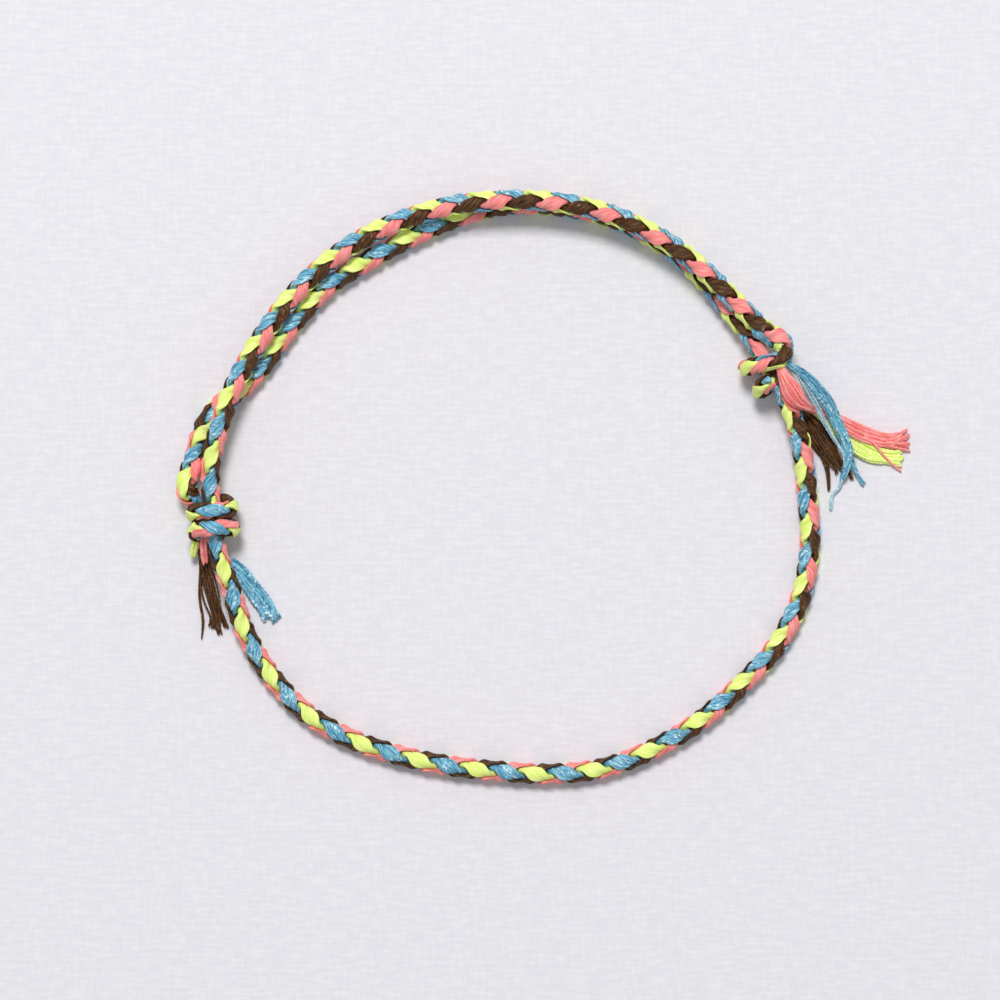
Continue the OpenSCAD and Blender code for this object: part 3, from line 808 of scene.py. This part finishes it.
# Where the soft step on each noise starts and ends
TONE_STEP = (0.30, 0.70)
CLUSTER_STEP = (0.38, 0.62)
WEAVE_STEP = (0.35, 0.75)
WARP_SHARE = 0.6
# Stretch of the facets' cells over the yarn's two measures, and width of their own
# step in shares of the bright cells
FACET = (1.6, 4.5)
FACET_STEP = 1.6
# Painted shade in the valleys between threads: its share, and its width in threads
EDGE_SHADE = 0.4
EDGE_WIDTH = 0.20
# Share of the painted glint's colour on the brightest facet, painted glint of a silvery thread between its
# facets, and a facet's roughness
PAINTED_GLINT_SHARE = 0.9
SILVER_PAINTED_GLINT = 0.5
FACET_ROUGHNESS = 0.2
# Height of the fibres and the facets as shares of the yarn's relief
FIBRE_HEIGHT = 0.6
FACET_HEIGHT = 0.4
# Depth of the bumps in metres
YARN_RELIEF = 0.00005
CLOTH_RELIEF = 0.0001


class Value:
    """A number in a shader. Arithmetic on it adds Math nodes."""

    def __init__(self, shader, socket):
        self.shader, self.socket = shader, socket

    def __add__(self, other):
        return self.shader.math("ADD", self, other)

    def __sub__(self, other):
        return self.shader.math("SUBTRACT", self, other)

    def __rsub__(self, other):
        return self.shader.math("SUBTRACT", other, self)

    def __mul__(self, other):
        return self.shader.math("MULTIPLY", self, other)

    def __gt__(self, other):
        return self.shader.math("GREATER_THAN", self, other)

    __radd__ = __add__
    __rmul__ = __mul__


class Shader:
    """A material under construction, with one method that makes every node."""

    def __init__(self, name):
        self.material = bpy.data.materials.new(name)
        self.material.use_nodes = True
        self.tree = self.material.node_tree
        self.surface = self.tree.nodes["Principled BSDF"]

    def node(self, kind, settings=None, sockets=None):
        made = self.tree.nodes.new(kind)
        for key, value in (settings or {}).items():
            setattr(made, key, value)
        self.feed(made, sockets or {})
        return made

    def feed(self, node, sockets):
        """Each socket takes a link or a plain value."""
        for key, value in sockets.items():
            value = value.socket if isinstance(value, Value) else value
            if isinstance(value, bpy.types.NodeSocket):
                self.tree.links.new(value, node.inputs[key])
            else:
                node.inputs[key].default_value = value

    def math(self, operation, *values):
        node = self.node("ShaderNodeMath", {"operation": operation}, dict(enumerate(values)))
        return Value(self, node.outputs[0])

    def measures(self, vector):
        """The first two numbers of a vector."""
        parts = self.node("ShaderNodeSeparateXYZ", None, {0: vector})
        return Value(self, parts.outputs[0]), Value(self, parts.outputs[1])

    def pair(self, x, y):
        return self.node("ShaderNodeCombineXYZ", None, {0: x, 1: y}).outputs[0]

    def noise(self, x, y, pattern):
        """Noise over two measures, stretched as its pattern says."""
        over_x, over_y, scale, detail = pattern
        vector = self.pair(x * over_x, y * over_y)
        sockets = {"Vector": vector, "Scale": scale, "Detail": detail}
        return Value(self, self.node("ShaderNodeTexNoise", {"noise_dimensions": "2D"}, sockets).outputs[0])

    def mix(self, factor, a, b):
        node = self.node("ShaderNodeMix", {"data_type": "RGBA"}, {0: factor, 6: a, 7: b})
        return node.outputs[2]

    def ramp(self, value, low, high):
        """Soft step from 0 at low to 1 at high."""
        sockets = {0: value, 1: low, 2: high, 3: 0.0, 4: 1.0}
        node = self.node("ShaderNodeMapRange", {"interpolation_type": "SMOOTHSTEP"}, sockets)
        return Value(self, node.outputs[0])

    def bump(self, height, strength, relief):
        """Bumps by a height, with their depth at height 1 in metres."""
        sockets = {"Strength": strength, "Distance": relief, "Height": height}
        return self.node("ShaderNodeBump", None, sockets).outputs[0]


def glint_facets(s, across, along, share):
    """How bright the yarn's facets are, as painted glint in the colour and as bumps and lower roughness: a
    share of a cell pattern's cells are bright, where a slower noise lets them cluster. A silvery thread
    carries painted glint all along."""
    vector = s.pair(across * FACET[0], along * FACET[1])
    cells = s.node("ShaderNodeTexVoronoi", {"voronoi_dimensions": "2D"}, {"Vector": vector, "Scale": 1.0})
    chance = s.node("ShaderNodeSeparateColor", None, {0: cells.outputs["Color"]})
    silver = across > SILVERY[0]
    cluster = s.math("MAXIMUM", s.ramp(s.noise(across, along, CLUSTER), *CLUSTER_STEP), silver)
    facet_glint = s.ramp(Value(s, chance.outputs[0]), 1 - FACET_STEP * share, 1.0) * cluster
    # Painted glint all along a silvery thread
    return s.math("MAXIMUM", facet_glint, silver * SILVER_PAINTED_GLINT)


def yarn(name, light, deep, roughness, sheen, shine, glint=None):
    """Plied yarn: each thread has its own tone, painted shade darkens the valleys between threads, and
    fibres run along it as fine streaks. A glinting yarn has bright facets too, their brightness a painted
    glint in its colour."""
    s = Shader(name)
    across, along = s.measures(s.node("ShaderNodeUVMap", {"uv_map": "yarn"}).outputs[0])
    tone = s.ramp(s.noise(across, along, TONE), *TONE_STEP)
    fibre = s.noise(across, along, FIBRE)
    edge = s.ramp(s.math("PINGPONG", across, 0.5), 0.0, EDGE_WIDTH)
    colour = s.mix(tone, deep, light)
    # Painted shade: the valleys between threads are darkened towards the deep colour
    colour = s.mix((1 - edge) * EDGE_SHADE, colour, deep)
    height = fibre * FIBRE_HEIGHT
    rough = roughness
    if glint:
        facet_glint = glint_facets(s, across, along, glint["share"])
        # Painted glint: bright facets lighten the colour towards the glint's colour
        colour = s.mix(facet_glint * PAINTED_GLINT_SHARE, colour, glint["colour"])
        height = height + facet_glint * FACET_HEIGHT
        rough = facet_glint * (FACET_ROUGHNESS - roughness) + roughness
    s.feed(
        s.surface,
        {
            "Base Color": colour,
            "Roughness": rough,
            "Normal": s.bump(height, strength=0.5, relief=YARN_RELIEF),
            "Sheen Weight": sheen,
            "Sheen Roughness": 0.4,
            "Specular IOR Level": shine,
        },
    )
    return s.material


YARNS = {
    "blue": yarn(
        "blue yarn",
        light=(0.21, 0.58, 0.75, 1),
        deep=(0.03, 0.20, 0.37, 1),
        roughness=0.45,
        sheen=0.08,
        shine=0.5,
        # The glint colour is a painted highlight on the facets
        glint=dict(share=0.36, colour=(0.74, 0.96, 1.0, 1)),
    ),
    "yellow": yarn(
        "yellow yarn",
        light=(0.96, 1.0, 0.43, 1),
        deep=(0.74, 0.97, 0.15, 1),
        roughness=0.65,
        sheen=0.12,
        shine=0.3,
    ),
    "pink": yarn(
        "pink yarn",
        light=(1.0, 0.43, 0.41, 1),
        deep=(1.0, 0.20, 0.19, 1),
        roughness=0.6,
        sheen=0.12,
        shine=0.3,
    ),
    "brown": yarn(
        "brown yarn",
        light=(0.155, 0.068, 0.023, 1),
        deep=(0.036, 0.014, 0.005, 1),
        roughness=0.5,
        sheen=0.0,
        shine=0.2,
        # The glint colour is a painted highlight on the facets
        glint=dict(share=0.08, colour=(0.34, 0.17, 0.09, 1)),
    ),
}


def cloth(name, light, deep):
    """Pale cloth to lie on: a faint weave of warp and weft, in bump and in tone."""
    s = Shader(name)
    x, y = s.measures(s.node("ShaderNodeTexCoord").outputs["Object"])
    weave = s.noise(x, y, WARP) * WARP_SHARE + s.noise(x, y, WEFT) * (1 - WARP_SHARE)
    s.feed(
        s.surface,
        {
            "Base Color": s.mix(s.ramp(weave, *WEAVE_STEP), deep, light),
            "Roughness": 0.9,
            "Normal": s.bump(weave, strength=0.25, relief=CLOTH_RELIEF),
            "Specular IOR Level": 0.2,
        },
    )
    return s.material


# The bracelet


def dress(piece, node, colour):
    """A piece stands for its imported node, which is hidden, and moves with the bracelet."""
    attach(piece, "root")
    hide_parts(node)
    colour + "_yarn"


STRANDS = {
    "blue": dict(second_pair=False, far_side=False),
    "yellow": dict(second_pair=False, far_side=True),
    "pink": dict(second_pair=True, far_side=True),
    "brown": dict(second_pair=True, far_side=False),
}

for colour, side in STRANDS.items():
    node = colour + "_strand"
    dress(tube_mesh(node + "_yarn", [strand(**side)], YARNS[colour]), node, colour)

for node, (colour, locks) in TAILS.items():
    tubes = [tube for facts, rows in locks for tube in lock(rows, **facts)]
    dress(tube_mesh(node + "_threads", tubes, YARNS[colour]), node, colour)

# Floor and light

# In metres, as are the lamp's place and size
FLOOR_HALF = 1.0


def floor():
    """A square of cloth under the bracelet, far wider than the view."""
    mesh = bpy.data.meshes.new("floor")
    h = FLOOR_HALF
    mesh.from_pydata([(-h, -h, 0), (h, -h, 0), (h, h, 0), (-h, h, 0)], [], [(0, 1, 2, 3)])
    mesh.materials.append(cloth("pale cloth", light=(0.845, 0.838, 0.893, 1), deep=(0.785, 0.775, 0.835, 1)))
    ground = bpy.data.objects.new("floor", mesh)
    bpy.context.collection.objects.link(ground)


def lamp(name, place, size, watts, colour):
    """A square soft light at a place, facing the origin."""
    data = bpy.data.lights.new(name, "AREA")
    data.size = size
    data.energy = watts
    data.color = colour
    light = bpy.data.objects.new(name, data)
    light.location = place
    light.rotation_euler = (-light.location).to_track_quat("-Z", "Y").to_euler()
    bpy.context.collection.objects.link(light)


def surround(strength):
    """Even white light from all round."""
    world = bpy.data.worlds.new("studio")
    world.use_nodes = True
    back = world.node_tree.nodes["Background"]
    back.inputs[0].default_value = (1.0, 1.0, 1.0, 1)
    back.inputs[1].default_value = strength
    bpy.context.scene.world = world


floor()
lamp("key", place=(-0.10, 0.55, 1.0), size=0.30, watts=9.7, colour=(1.0, 0.99, 0.97))
surround(strength=0.385)
bpy.context.scene.view_settings.view_transform = "Standard"
